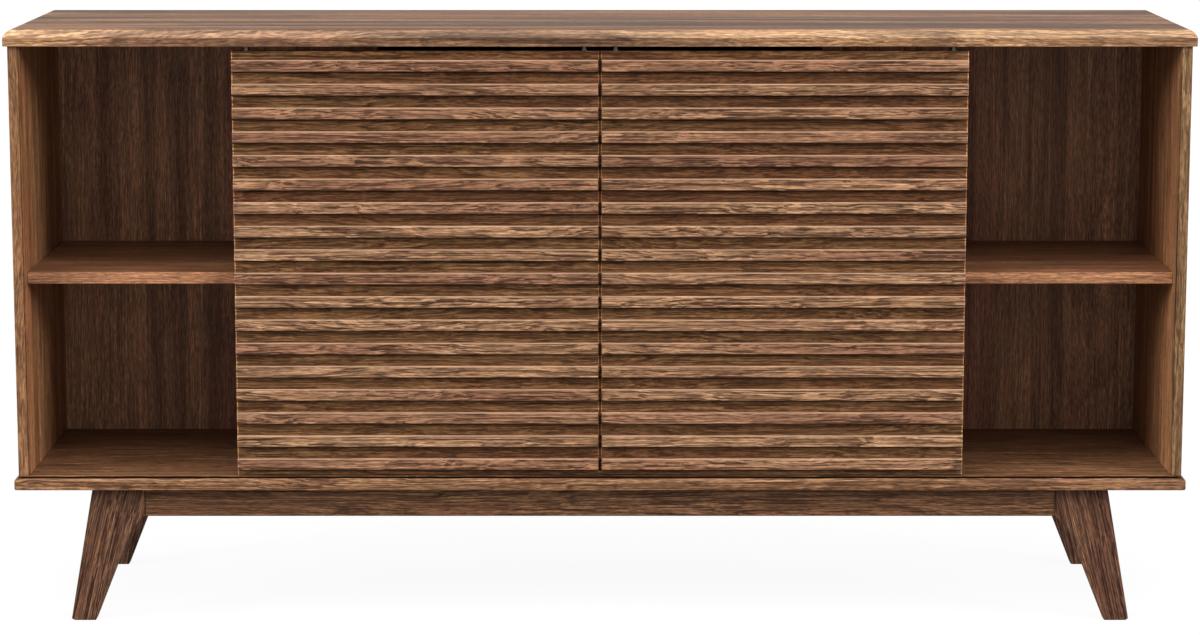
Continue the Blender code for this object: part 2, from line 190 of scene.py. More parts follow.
def makeWoodFigure(parts):
    # Walnut figure. X runs along the grain. Growth lines are the contours of a slow noise field
    # stretched along X: field = rings * (broad + share * ripple) + share * streak. Each contour
    # darkens towards its own edge. Streaks, hairs and pores are finer noises stretched the same way
    # and moved across by flow * broad / across, so they run with the growth lines.
    group, given, made = newGroup(
        "woodFigure",
        [("Place", "Vector"), ("Seed", "Float"), ("Along", "Float"), ("Across", "Float"),
         ("Rings", "Float"), ("Lines", "Float"), ("Hairs", "Float"), ("Bands", "Float"),
         ("Strips", "Float"), ("Warmth", "Float"),
         ("Light", "Color"), ("Mid", "Color"), ("Dark", "Color"), ("Accent", "Color")],
        [("Colour", "Color"), ("Pores", "Float"), ("Height", "Float")])
    seeds = joined(group, given["Seed"], given["Seed"], given["Seed"])
    shift = vectors(group, "MULTIPLY", seeds, parts["seedStep"])
    place = vectors(group, "ADD", given["Place"], shift)
    scales = joined(group, given["Along"], given["Across"], given["Across"])
    broad = noise(group, place, scales, 1.0, 0.4)
    ripple = noise(group, place, vectors(group, "MULTIPLY", scales, parts["ripple"]), 2.0)

    wobble = figureNoise(group, place, "wobble")
    wobble = maths(group, "MULTIPLY_ADD", wobble, parts["sway"], -parts["sway"] / 2)
    flow = maths(group, "DIVIDE", maths(group, "MULTIPLY", broad, parts["flow"]), given["Across"])
    sway = maths(group, "ADD", wobble, flow)
    wavy = vectors(group, "ADD", place, joined(group, 0.0, sway, sway))
    hair = figureNoise(group, wavy, "hair")
    streak = figureNoise(group, wavy, "streak")
    fleck = figureNoise(group, wavy, "fleck")
    pore = figureNoise(group, wavy, "pore")
    fibre = figureNoise(group, place, "fibre")
    drift = figureNoise(group, place, "drift")
    band = noise(group, place, joined(group, 1.0, given["Strips"], given["Strips"]), 3.0, 0.65)

    field = maths(group, "MULTIPLY_ADD", ripple, parts["rippleShare"], broad)
    field = maths(group, "MULTIPLY", given["Rings"], field)
    field = maths(group, "ADD", field, maths(group, "MULTIPLY", streak, parts["streakShare"]))
    ring = maths(group, "FRACT", field)
    line = maths(group, "POWER", ring, parts["lineRise"])
    line = maths(group, "MULTIPLY", line, spread(group, ring, 1.0, parts["lineEnd"]))
    lines = maths(group, "MULTIPLY", line, given["Lines"])
    hairs = maths(group, "MULTIPLY", spread(group, hair, *parts["hairs"]), given["Hairs"])
    pores = spread(group, pore, *parts["pores"])

    streaks = spread(group, streak, *parts["streaks"])
    colour = mixed(group, streaks, given["Mid"], given["Light"])
    warm = maths(group, "ADD", spread(group, drift, *parts["drifts"]), given["Warmth"])
    colour = mixed(group, spread(group, warm, 0.0, 1.0), colour, given["Accent"])
    colour = mixed(group, lines, colour, given["Dark"])
    colour = mixed(group, hairs, colour, given["Dark"])
    fibres = spread(group, fibre, *parts["fibres"])
    flecks = spread(group, fleck, *parts["flecks"])
    bands = spread(group, band, *parts["bands"])
    bands = maths(group, "MULTIPLY_ADD", bands, given["Bands"], 1.0)
    grain = maths(group, "MULTIPLY", maths(group, "MULTIPLY", fibres, flecks), bands)
    colour = mixed(group, 1.0, colour, grain, "MULTIPLY")
    poreShare = maths(group, "MULTIPLY", pores, parts["poreShare"])
    colour = mixed(group, poreShare, colour, given["Dark"])

    relief = maths(group, "MULTIPLY", streak, parts["streakHeight"])
    relief = maths(group, "MULTIPLY_ADD", fibre, parts["fibreHeight"], relief)
    relief = maths(group, "SUBTRACT", relief, maths(group, "MULTIPLY", pores, parts["poreDepth"]))
    relief = maths(group, "SUBTRACT", relief, maths(group, "MULTIPLY", lines, parts["lineDepth"]))
    feed(group, made["Colour"], colour)
    feed(group, made["Pores"], pores)
    feed(group, made["Height"], relief)
    return group


woodFigure = makeWoodFigure(figure)

slatBoxes = [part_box("door_left_slat_%02d" % number) for number in (1, 2)]
slatPitch = slatBoxes[0][1].z - slatBoxes[1][1].z
slatTop = slatBoxes[0][1].z
slatHeight = slatTop - slatBoxes[0][0].z
slatFront = slatBoxes[0][0].y

# Colours are linear. Along and across are features of the slow figure per metre, rings its growth
# lines in one feature, and strips the broad light and dark strips per metre across. Rim, band,
# edging, ends, verge and the slot's tint each colour a strip that edgeShares places; the rim and
# ends tints are painted highlights, the slot's tint is painted shade. Two strengths set the painted
# highlight along each slat's upper edge and the painted shadow along and just below its lower edge.
plainStrips = 52.0
walnuts = {
    # the rim tint is a painted highlight on the top board's round edge
    "walnut_top": dict(
        grain="x", seed=4.9, along=0.8, across=9.0, rings=6.0, lines=0.70, hairs=0.55, bands=1.00,
        warmth=-0.25, roughness=0.36, gloss=0.29, strips=22.0, rim=(1.66, 2.10, 2.46),
        light=(0.328, 0.160, 0.074), mid=(0.200, 0.091, 0.041),
        dark=(0.058, 0.023, 0.011), accent=(0.225, 0.096, 0.048)),
    # the tint inside the slot under the flat top is painted shade
    "walnut_base": dict(
        grain="x", seed=7.7, along=1.6, across=24.0, rings=12.0, lines=0.70, hairs=0.75, bands=0.20,
        warmth=-0.2, roughness=0.44, gloss=0.20, slotShade=(0.06, 0.05, 0.04),
        light=(0.410, 0.213, 0.105), mid=(0.230, 0.107, 0.050),
        dark=(0.045, 0.017, 0.008), accent=(0.255, 0.110, 0.056)),
    "walnut_apron": dict(
        grain="x", seed=4.3, along=1.6, across=26.0, rings=12.0, lines=0.70, hairs=0.75, bands=0.15,
        warmth=-0.2, roughness=0.46, gloss=0.18,
        light=(0.300, 0.153, 0.076), mid=(0.166, 0.076, 0.036),
        dark=(0.034, 0.013, 0.006), accent=(0.180, 0.076, 0.039)),
    "walnut_side": dict(
        grain="z", seed=1.9, along=1.4, across=12.0, rings=13.0, lines=0.65, hairs=0.55, bands=0.60,
        warmth=-0.2, roughness=0.44, gloss=0.20, verge=(0.42, 0.34, 0.30),
        edging=(0.70, 0.80, 0.82),
        light=(0.500, 0.255, 0.118), mid=(0.345, 0.160, 0.070),
        dark=(0.080, 0.032, 0.014), accent=(0.380, 0.155, 0.070)),
    "walnut_back": dict(
        grain="z", seed=5.3, along=0.9, across=6.5, rings=9.0, lines=0.45, hairs=0.30, bands=0.60,
        warmth=-0.2, roughness=0.50, gloss=0.32,
        light=(0.530, 0.290, 0.160), mid=(0.400, 0.200, 0.112),
        dark=(0.125, 0.056, 0.036), accent=(0.370, 0.165, 0.102)),
    "walnut_shelf": dict(
        grain="x", seed=9.4, along=1.4, across=12.0, rings=10.0, lines=0.55, hairs=0.45, bands=0.45,
        warmth=0.1, roughness=0.44, gloss=0.22, band=(1.72, 1.86, 1.90),
        light=(0.370, 0.190, 0.098), mid=(0.250, 0.115, 0.056),
        dark=(0.075, 0.031, 0.015), accent=(0.285, 0.121, 0.059)),
    # the door panel takes painted shadow just below each slat and a painted highlight on its
    # upright edges
    "walnut_door": dict(
        grain="x", seed=6.2, along=3.2, across=24.0, rings=11.0, lines=0.75, hairs=0.60, bands=0.20,
        warmth=-0.3, roughness=0.52, gloss=0.09, wearAndHighlight=0.0, shade=0.95, ends=(3.6, 3.6, 3.8),
        light=(0.280, 0.145, 0.064), mid=(0.168, 0.076, 0.032),
        dark=(0.030, 0.010, 0.004), accent=(0.175, 0.072, 0.033)),
    # the slats take a painted highlight in the pale colour along their upper front edges and near
    # their ends, and painted shadow along their lower edges
    "walnut_slat": dict(
        grain="slats", seed=0.0, along=3.4, across=30.0, rings=9.0, lines=0.95, hairs=0.85,
        bands=0.15, warmth=-0.3, roughness=0.46, gloss=0.20, wearAndHighlight=0.50, shade=0.85,
        ends=(1.7, 1.75, 1.85), pale=(0.80, 0.51, 0.34),
        light=(0.590, 0.335, 0.185), mid=(0.335, 0.172, 0.087),
        dark=(0.050, 0.018, 0.008), accent=(0.375, 0.180, 0.102)),
    "walnut_leg": dict(
        grain="leg", seed=2.6, along=1.8, across=34.0, rings=7.0, lines=0.65, hairs=0.85,
        bands=0.15, warmth=-0.3, roughness=0.48, gloss=0.18,
        light=(0.262, 0.132, 0.074), mid=(0.141, 0.064, 0.036),
        dark=(0.028, 0.010, 0.006), accent=(0.148, 0.061, 0.038)),
}
legLean = math.radians(13.0)


# metres from a slat's upper edge, its face and its lower edge: where a strip starts and is full,
# for a painted highlight along the upper edge and a painted shadow along and below the lower edge
slatLightAndShade = dict(
    waves=(40.0, 3.0, 3.0), waver=0.0012, wearAndHighlight=(0.0022, 0.0006), face=(0.0024, 0.0008),
    above=(0.0016, 0.0002), below=(0.0026, 0.0006))


def makeSlatEdges(lightAndShade):
    # How far a point lies below the upper edge of its slat, with a slight waver. The first output
    # is a painted highlight along that edge near the slat's front, the second a painted shadow
    # along the lower edge and just below it.
    group, given, made = newGroup(
        "slatEdges", [("Place", "Vector")], [("Worn", "Float"), ("Shade", "Float")])
    x, y, z = axes(group, given["Place"])
    waver = noise(group, given["Place"], lightAndShade["waves"], 3.0)
    waver = maths(group, "MULTIPLY_ADD", waver, lightAndShade["waver"], -lightAndShade["waver"] / 2)
    below = maths(group, "ADD", maths(group, "SUBTRACT", slatTop, z), waver)
    share = maths(group, "FLOORED_MODULO", below, slatPitch)
    face = spread(group, y, slatFront + lightAndShade["face"][0], slatFront + lightAndShade["face"][1])
    wearAndHighlight = maths(group, "MULTIPLY", spread(group, share, *lightAndShade["wearAndHighlight"]), face)
    rise = spread(group, share, slatHeight - lightAndShade["above"][0], slatHeight - lightAndShade["above"][1])
    fall = spread(group, share, slatHeight + lightAndShade["below"][0], slatHeight + lightAndShade["below"][1])
    feed(group, made["Worn"], wearAndHighlight)
    feed(group, made["Shade"], maths(group, "MULTIPLY", rise, fall))
    return group


slatEdges = makeSlatEdges(slatLightAndShade)

# how far apart in the wood the pieces of one finish are cut, and how much warmer a slat may be
cuts = dict(legSides=1.3, legRows=2.9, doors=50.0, slats=37.0, slatWarmth=0.9, slatCool=0.35)


def grainPlace(tree, finish):
    # object coordinates turned so that X runs along the grain, then a seed and a warmth
    place = objectPlace(tree)
    seed, warmth = finish["seed"], finish["warmth"]
    x, y, z = axes(tree, place)
    if finish["grain"] == "z":
        return joined(tree, z, y, maths(tree, "MULTIPLY", x, -1.0)), seed, warmth
    if finish["grain"] == "leg":
        # both sides lean outwards, so the turn works on the distance from the middle
        turn = addNode(tree, "ShaderNodeMapping")
        feed(tree, turn.inputs["Vector"], joined(tree, maths(tree, "ABSOLUTE", x), y, z))
        turn.inputs["Rotation"].default_value = (0.0, math.pi / 2 + legLean, 0.0)
        sides = maths(tree, "MULTIPLY_ADD", maths(tree, "SIGN", x), cuts["legSides"], seed)
        seed = maths(tree, "MULTIPLY_ADD", maths(tree, "SIGN", y), cuts["legRows"], sides)
        return turn.outputs[0], seed, warmth
    if finish["grain"] == "slats":
        # each slat is its own strip: its row and its door pick a random cut of wood
        below = maths(tree, "SUBTRACT", slatTop + slatPitch / 4, z)
        row = maths(tree, "FLOOR", maths(tree, "DIVIDE", below, slatPitch))
        pick = addNode(tree, "ShaderNodeTexWhiteNoise", noise_dimensions="1D")
        number = maths(tree, "MULTIPLY_ADD", maths(tree, "SIGN", x), cuts["doors"], row)
        feed(tree, pick.inputs["W"], number)
        chance = pick.outputs["Value"]
        warmth = maths(tree, "MULTIPLY_ADD", chance, cuts["slatWarmth"], warmth - cuts["slatCool"])
        return place, maths(tree, "MULTIPLY", chance, cuts["slats"]), warmth
    return place, seed, warmth


# Metres from an edge: where its strip fades out and where it is full. Each share below is 0 away
# from its strip and 1 on it, from the object coordinates x, y and z.
edgeStrips = dict(
    rim=(0.0116, 0.0096), rimRise=(0.0118, 0.0090), rimLeast=0.36, front=(0.0012, 0.0002),
    slotFloor=(0.0032, 0.0026), slotRoof=(0.0003, 0.0006), doorOuter=(0.0017, 0.0009),
    doorInner=(0.0014, 0.0007), doorInnerShare=0.5, verge=(0.0016, 0.0010),
    vergeInner=(0.0019, 0.0012))


def upTo(tree, value, edge, strip):
    return spread(tree, value, edge + strip[0], edge + strip[1])


def downTo(tree, value, edge, strip, *ends):
    return spread(tree, value, edge - strip[0], edge - strip[1], *ends)


def rimShare(tree, x, y, z):
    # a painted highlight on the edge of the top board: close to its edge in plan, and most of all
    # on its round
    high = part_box("top_board")[1]
    insetX = maths(tree, "SUBTRACT", high.x, maths(tree, "ABSOLUTE", x))
    insetY = maths(tree, "SUBTRACT", high.y, maths(tree, "ABSOLUTE", y))
    near = spread(tree, maths(tree, "MINIMUM", insetX, insetY), *edgeStrips["rim"])
    rise = downTo(tree, z, high.z, edgeStrips["rimRise"], edgeStrips["rimLeast"], 1.0)
    return maths(tree, "MULTIPLY", near, rise)


def bandShare(tree, x, y, z):
    # the edging glued along a shelf's front
    return upTo(tree, y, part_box("shelf_left")[0].y, edgeStrips["front"])


def edgingShare(tree, x, y, z):
    # the edging glued along a side panel's front
    return upTo(tree, y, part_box("side_panel_left")[0].y, edgeStrips["front"])


def slotShadeShare(tree, x, y, z):
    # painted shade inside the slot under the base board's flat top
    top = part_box("base_board")[1].z
    floor = downTo(tree, z, top, edgeStrips["slotFloor"])
    return maths(tree, "MULTIPLY", floor, downTo(tree, z, top, edgeStrips["slotRoof"]))


def endsShare(tree, x, y, z):
    # a painted highlight on the eased upright edges of a door
    low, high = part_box("door_right_panel")
    away = maths(tree, "ABSOLUTE", x)
    outer = downTo(tree, away, high.x, edgeStrips["doorOuter"])
    fade, full = edgeStrips["doorInner"]
    inner = spread(tree, away, low.x + fade, low.x + full, 0.0, edgeStrips["doorInnerShare"])
    return maths(tree, "MAXIMUM", outer, inner)


def vergeShare(tree, x, y, z):
    # the joint of the edging and the inner face of a side panel
    near = upTo(tree, y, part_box("side_panel_left")[0].y, edgeStrips["verge"])
    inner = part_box("side_panel_right")[0].x
    away = upTo(tree, maths(tree, "ABSOLUTE", x), inner, edgeStrips["vergeInner"])
    return maths(tree, "MULTIPLY", near, away)


edgeShares = dict(
    rim=rimShare, band=bandShare, edging=edgingShare, slotShade=slotShadeShare, ends=endsShare,
    verge=vergeShare)
surface = dict(smudges=(5.0, 9.0, 9.0), smudge=0.10, pores=0.14, bump=0.35, depth=0.0004)


def makeWalnut(name, finish):
    material, tree, shader = newMaterial(name)
    shader.inputs["Specular IOR Level"].default_value = finish["gloss"]
    place, seed, warmth = grainPlace(tree, finish)
    wood = placeGroup(
        tree, woodFigure, Place=place, Seed=seed, Along=finish["along"], Across=finish["across"],
        Rings=finish["rings"], Lines=finish["lines"], Hairs=finish["hairs"], Bands=finish["bands"],
        Strips=finish.get("strips", plainStrips), Warmth=warmth, Light=opaque(finish["light"]),
        Mid=opaque(finish["mid"]), Dark=opaque(finish["dark"]), Accent=opaque(finish["accent"]))
    colour = wood["Colour"]
    # edge tints: those of the rim and of a door's ends are painted highlights, the one in the base
    # board's slot is painted shade
    for edge, share in edgeShares.items():
        if edge in finish:
            amount = share(tree, *axes(tree, objectPlace(tree)))
            tint = mixed(tree, amount, (1.0, 1.0, 1.0, 1.0), opaque(finish[edge]))
            colour = mixed(tree, 1.0, colour, tint, "MULTIPLY")
    # painted highlight along each slat's upper edge, painted shadow along its lower edge and on the
    # panel just below it
    if "shade" in finish:
        edges = placeGroup(tree, slatEdges, Place=place)
        wearAndHighlight = maths(tree, "MULTIPLY", edges["Worn"], finish["wearAndHighlight"])
        shade = maths(tree, "MULTIPLY", edges["Shade"], finish["shade"])
        colour = mixed(tree, wearAndHighlight, colour, opaque(finish.get("pale", finish["light"])))
        colour = mixed(tree, shade, colour, opaque(finish["dark"]))
    feed(tree, shader.inputs["Base Color"], colour)
    smudge = noise(tree, place, surface["smudges"], 3.0)
    least = finish["roughness"] - surface["smudge"] / 2
    dull = maths(tree, "MULTIPLY_ADD", smudge, surface["smudge"], least)
    dull = maths(tree, "MULTIPLY_ADD", wood["Pores"], surface["pores"], dull)
    feed(tree, shader.inputs["Roughness"], dull)
    addBump(tree, shader, wood["Height"], surface["bump"], surface["depth"])
    return material


# metal and plastic
rubbing = dict(
    scratches=(45.0, 3200.0, 3200.0), seen=(0.45, 0.75), scratchShare=0.6,
    clouds=(60.0, 60.0, 60.0), cloudShare=0.4)


def makeRubbed(parts):
    # Fine scratches along X and a soft cloudiness, for metal and moulded plastic.
    group, given, made = newGroup(
        "rubbed", [("Tone", "Color"), ("Worn", "Color"), ("Amount", "Float")],
        [("Colour", "Color"), ("Marks", "Float")])
    place = objectPlace(group)
    scratches = spread(group, noise(group, place, parts["scratches"], 2.0), *parts["seen"])
    clouds = noise(group, place, parts["clouds"], 3.0)
    clouds = maths(group, "MULTIPLY", clouds, parts["cloudShare"])
    marks = maths(group, "MULTIPLY_ADD", scratches, parts["scratchShare"], clouds)
    share = maths(group, "MULTIPLY", marks, given["Amount"])
    feed(group, made["Colour"], mixed(group, share, given["Tone"], given["Worn"]))
    feed(group, made["Marks"], marks)
    return group


rubbed = makeRubbed(rubbing)
hardFinishes = {
    "track_metal": dict(
        tone=(0.30, 0.29, 0.28), wearAndHighlight=(0.55, 0.54, 0.52), amount=0.6, metallic=1.0, roughness=0.34),
    "hanger_steel": dict(
        tone=(0.22, 0.21, 0.20), wearAndHighlight=(0.42, 0.41, 0.40), amount=0.6, metallic=1.0, roughness=0.34),
    "guide_plastic": dict(
        tone=(0.050, 0.032, 0.022), wearAndHighlight=(0.110, 0.078, 0.058), amount=0.5, metallic=0.0,
        roughness=0.50),
}
hardSurface = dict(marks=0.22, least=0.06, bump=0.2, depth=0.0001)


def makeHard(name, finish):
    material, tree, shader = newMaterial(name)
    shader.inputs["Metallic"].default_value = finish["metallic"]
    rub = placeGroup(
        tree, rubbed, Tone=opaque(finish["tone"]), Worn=opaque(finish["wearAndHighlight"]),
        Amount=finish["amount"])
    least = finish["roughness"] - hardSurface["least"]
    dull = maths(tree, "MULTIPLY_ADD", rub["Marks"], hardSurface["marks"], least)
    feed(tree, shader.inputs["Base Color"], rub["Colour"])
    feed(tree, shader.inputs["Roughness"], dull)
    addBump(tree, shader, rub["Marks"], hardSurface["bump"], hardSurface["depth"])
    return material


finishes = {name: makeWalnut(name, finish) for name, finish in walnuts.items()}
finishes.update({name: makeHard(name, finish) for name, finish in hardFinishes.items()})
print("finishes made:", len(finishes))


# piece helpers
def added(name, data):
    made = bpy.data.objects.new(name, data)
    bpy.context.scene.collection.objects.link(made)
    return made


def roundedRing(halfSizes, corner, steps=6):
    # A rectangle with round corners, anticlockwise: each corner is its own quarter circle,
    # sign * (half - corner) + corner * (cos, sin).
    signs = np.array([(1, 1), (-1, 1), (-1, -1), (1, -1)], float)
    starts = np.array([0, 90, 180, 270])
    angles = np.radians(starts[:, None] + np.linspace(0, 90, steps + 1)[None, :])
    arc = np.stack([np.cos(angles), np.sin(angles)], axis=-1)
    middle = signs[:, None, :] * (np.asarray(halfSizes, float) - corner)
    return (middle + corner * arc).reshape(-1, 2)


def circleRing(radius, steps=32):
    angles = np.linspace(0, 2 * np.pi, steps, endpoint=False)
    return radius * np.stack([np.cos(angles), np.sin(angles)], axis=-1)


def stackRings(name, rings, heights, centre, axis):
    # A closed solid through rings of equal count: ring points in the plane across the axis, one
    # ring at each height along it, quads between neighbours and a flat cap at both ends.
    rings = np.asarray(rings, float)
    levels, count = rings.shape[:2]
    points = np.empty((levels, count, 3))
    points[..., (axis + 1) % 3] = rings[..., 0]
    points[..., (axis + 2) % 3] = rings[..., 1]
    points[..., axis] = np.asarray(heights, float)[:, None]
    points += np.asarray(centre, float)
    spot = np.arange(levels * count).reshape(levels, count)
    along = np.roll(spot, -1, axis=1)
    quads = np.stack([spot[:-1], along[:-1], along[1:], spot[1:]], axis=-1).reshape(-1, 4)
    caps = [spot[0][::-1].tolist(), spot[-1].tolist()]
    mesh = bpy.data.meshes.new(name)
    mesh.from_pydata(points.reshape(-1, 3).tolist(), [], quads.tolist() + caps)
    return added(name, mesh)


def shaded(piece, angle=35.0):
    # smooth over the round edges, with the broad faces kept flat
    piece.data.shade_smooth()
    piece.data.set_sharp_from_angle(angle=math.radians(angle))
    flat = piece.modifiers.new("flatFaces", "WEIGHTED_NORMAL")
    flat.keep_sharp = True
    return piece


def placed(piece, finish, body, replaced=()):
    piece.data.materials.clear()
    piece.data.materials.append(finishes[finish])
    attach(piece, body)
    if replaced:
        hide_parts(*replaced)
    return piece


def easedBoard(name, low, high, axis, ease, steps=3):
    # A board whose thickness runs along the axis. All edges are quarter rounds: ring inset =
    # ease * (1 - sin a), height from the face = ease * (1 - cos a).
    low, high = np.asarray(low, float), np.asarray(high, float)
    half = (high - low) / 2
    plan = half[[(axis + 1) % 3, (axis + 2) % 3]]
    turn = np.linspace(0, np.pi / 2, steps + 1)
    inset = ease * (1 - np.sin(turn))
    rise = ease * (1 - np.cos(turn))
    corner = ease * 1.05  # so that no ring comes to a point
    rings = [roundedRing(plan - step, corner - step) for step in (*inset, *inset[::-1])]
    heights = np.concatenate([rise - half[axis], half[axis] - rise[::-1]])
    return shaded(stackRings(name, rings, heights, (low + high) / 2, axis))


def cutter(low, high):
    low, high = np.asarray(low, float), np.asarray(high, float)
    half = (high - low) / 2
    ring = half[:2] * np.array([(1, 1), (-1, 1), (-1, -1), (1, -1)])
    return stackRings("cutter", [ring, ring], (-half[2], half[2]), (low + high) / 2, 2)


def carved(piece, cutters):
    # the grooves are cut into the mesh itself, and the cutters go
    for tool in cutters:
        groove = piece.modifiers.new("groove", "BOOLEAN")
        groove.object = tool
        groove.solver = "EXACT"
    bpy.context.view_layer.update()
    cut = piece.evaluated_get(bpy.context.evaluated_depsgraph_get())
    mesh = bpy.data.meshes.new_from_object(cut)
    piece.modifiers.clear()
    piece.data = mesh
    mesh.name = piece.name
    for tool in cutters:
        bpy.data.objects.remove(tool)
    return piece


def grooveFor(node, grow, zRange):
    # room for a node that is let into a board
    low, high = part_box(node)
    start = (low.x - grow, low.y - grow, zRange[0])
    return cutter(start, (high.x + grow, high.y + grow, zRange[1]))


def arcEdge(edge):
    # One arc whose normal turns from nearly level to nearly upright: its insets, scaled to the
    # edge's width, and its rises as shares of the edge's height.
    turn = np.radians(np.linspace(edge["lower"], edge["upper"], edge["steps"]))
    inset = (np.cos(turn[0]) - np.cos(turn)) / (np.cos(turn[0]) - np.cos(turn[-1]))
    rise = (np.sin(turn) - np.sin(turn[0])) / (np.sin(turn[-1]) - np.sin(turn[0]))
    return inset * edge["width"], rise


def edgedBoard(name, node, insets, heights, edge):
    # rings of the board's outline, inset and stacked, with corners that tighten as they go in
    low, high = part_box(node)
    half = np.array([high.x - low.x, high.y - low.y]) / 2
    corners = np.maximum(edge["corner"] - insets * edge["cornerFall"], edge["cornerLeast"])
    rings = [roundedRing(half - step, corner) for step, corner in zip(insets, corners)]
    middle = ((low.x + high.x) / 2, (low.y + high.y) / 2, 0.0)
    return stackRings(name, rings, heights, middle, 2)


# top board
topEdge = dict(
    width=0.011, drop=0.0106, upper=74.0, lower=20.0, steps=9, arris=0.0004, corner=0.0045,
    cornerFall=0.35, cornerLeast=0.001, fit=0.0003, past=0.01, smooth=14.0)


def makeTopBoard(edge):
    # The edge is one arc over the upper part of the face, above a plain upright part.
    low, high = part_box("top_board")
    inset, rise = arcEdge(edge)
    insets = np.concatenate([[edge["arris"], 0.0], inset])
    face = [low.z, low.z + edge["arris"]]
    heights = np.concatenate([face, high.z - edge["drop"] + rise * edge["drop"]])
    board = edgedBoard("topBoard", "top_board", insets, heights, edge)
    under = low.z - edge["past"]
    carved(board, [
        grooveFor(node, edge["fit"], (under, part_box(node)[1].z + edge["fit"]))
        for node in ("door_track", "back_panel")])
    return placed(shaded(board, edge["smooth"]), "walnut_top", "carcass", ["top_board"])


makeTopBoard(topEdge)

# base board
baseEdge = dict(
    width=0.0054, drop=0.0076, upper=78.0, lower=2.0, steps=8, lip=0.0006, lipInset=0.0060,
    lipEase=0.0002, slotHeight=0.0020, slotDepth=0.0042, slotEase=0.0001, under=0.0012,
    underSteps=4, corner=0.0045, cornerFall=0.35, cornerLeast=0.0015, fit=0.0003, past=0.01,
    smooth=25.0)


def makeBaseBoard(edge):
    # A round over the upper part of the face, a narrow slot cut level into the edge above it, and a
    # thin lip that carries the flat top. The lower edge has a small quarter round.
    low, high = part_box("base_board")
    inset, rise = arcEdge(edge)
    turn = np.radians(np.linspace(0, 90, edge["underSteps"]))
    underInset = edge["under"] * (1 - np.sin(turn))
    underRise = edge["under"] * (1 - np.cos(turn))
    slotTop = high.z - edge["lip"]
    slotBottom = slotTop - edge["slotHeight"]
    slotEnd = edge["width"] + edge["slotDepth"]
    lip = edge["lipInset"]
    slotInset = [slotEnd, slotEnd, lip - edge["lipEase"], lip + edge["lipEase"]]
    slotRise = [slotBottom + edge["slotEase"], slotTop, slotTop, high.z]
    faceTop = high.z - edge["drop"]
    face = faceTop + rise * (slotBottom - faceTop)
    insets = np.concatenate([underInset, inset, slotInset])
    heights = np.concatenate([low.z + underRise, face, slotRise])
    board = edgedBoard("baseBoard", "base_board", insets, heights, edge)
    over = high.z + edge["past"]
    carved(board, [
        grooveFor(node, edge["fit"], (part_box(node)[0].z - edge["fit"], over))
        for node in ("door_guide_rail", "back_panel")])
    return placed(shaded(board, edge["smooth"]), "walnut_base", "carcass", ["base_board"])


makeBaseBoard(baseEdge)
print("top and base boards made")

# slats
slatShape = dict(count=18, ease=0.0009, steps=3)
for side in ("left", "right"):
    for number in range(1, slatShape["count"] + 1):
        node = "door_%s_slat_%02d" % (side, number)
        low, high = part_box(node)
        name = "slat%s%02d" % (side.capitalize(), number)
        slat = easedBoard(name, low, high, 1, slatShape["ease"], slatShape["steps"])
        placed(slat, "walnut_slat", "door_" + side, [node])
print("slats made")

# legs and door panels: the nodes' own shapes with their sharp edges rounded
legShape = dict(ease=0.0011, steps=3)
panelShape = dict(ease=0.0005, steps=2)
merging = dict(apart=0.00001, flat=math.radians(0.6), sharp=math.radians(30), smooth=40.0)


def easedCopy(node, name, ease, steps):
    shape = bmesh.new()
    shape.from_mesh(frame["nodes"][node].data)
    bmesh.ops.remove_doubles(shape, verts=shape.verts, dist=merging["apart"])
    bmesh.ops.dissolve_limit(
        shape, angle_limit=merging["flat"], verts=shape.verts, edges=shape.edges)
    mesh = bpy.data.meshes.new(name)
    shape.to_mesh(mesh)
    shape.free()
    piece = added(name, mesh)
    bevel = piece.modifiers.new("ease", "BEVEL")
    bevel.width = ease
    bevel.segments = steps
    bevel.limit_method = "ANGLE"
    bevel.angle_limit = merging["sharp"]
    bevel.harden_normals = False
    return shaded(piece, merging["smooth"])


for row in ("front", "rear"):
    for side in ("left", "right"):
        node = "leg_%s_%s" % (row, side)
        leg = easedCopy(node, "leg%s%s" % (row.capitalize(), side.capitalize()), **legShape)
        placed(leg, "walnut_leg", "carcass", [node])
for side in ("left", "right"):
    node = "door_%s_panel" % side
    panel = easedCopy(node, "doorPanel" + side.capitalize(), **panelShape)
    placed(panel, "walnut_door", "door_" + side, [node])
print("legs and door panels made")

# door hardware
hanging = dict(
    wheelRadius=0.0040, wheelHalf=0.00115, wheelGap=0.00015, wheelLift=0.0001, trackLip=0.0014,
    axleRadius=0.0008, axleSpread=0.011, axleOver=1.15, axleTip=0.7, axleSteps=16,
    nutAcross=0.0080, nutHeight=0.0030, nutSmooth=20.0, washerRadius=0.0050, washerHeight=0.0007,
    ease=0.97)
# profiles as shares of a piece's radius and of its height
wheelProfile = dict(
    radii=(0.35, 0.35, 0.62, 0.86, 0.97, 1.0, 1.0, 0.97, 0.86, 0.62, 0.35, 0.35),
    heights=(-1.0, -0.70, -0.70, -0.86, -0.62, -0.25, 0.25, 0.62, 0.86, 0.70, 0.70, 1.0))
nutProfile = dict(radii=(0.97, 1.0, 1.0, 0.90), heights=(0.0, 0.08, 0.85, 1.0))
washerHeights = np.array([0.0, 0.2, 0.8, 1.0])


def turned(name, radii, heights, centre, axis, steps=32):
    # A turned piece: one circle for each radius and height of its profile.
    rings = [circleRing(radius, steps) for radius in radii]
    return shaded(stackRings(name, rings, heights, centre, axis))


def makeAxle(name, centre, parts):
    reach = parts["reach"] + parts["wheelHalf"] * parts["axleOver"]
    radius, ease = parts["axleRadius"], parts["ease"]
    tip = radius * parts["axleTip"]
    ends = [-reach, -reach * ease, reach * ease, reach]
    return turned(name, [tip, radius, radius, tip], ends, centre, 1, parts["axleSteps"])


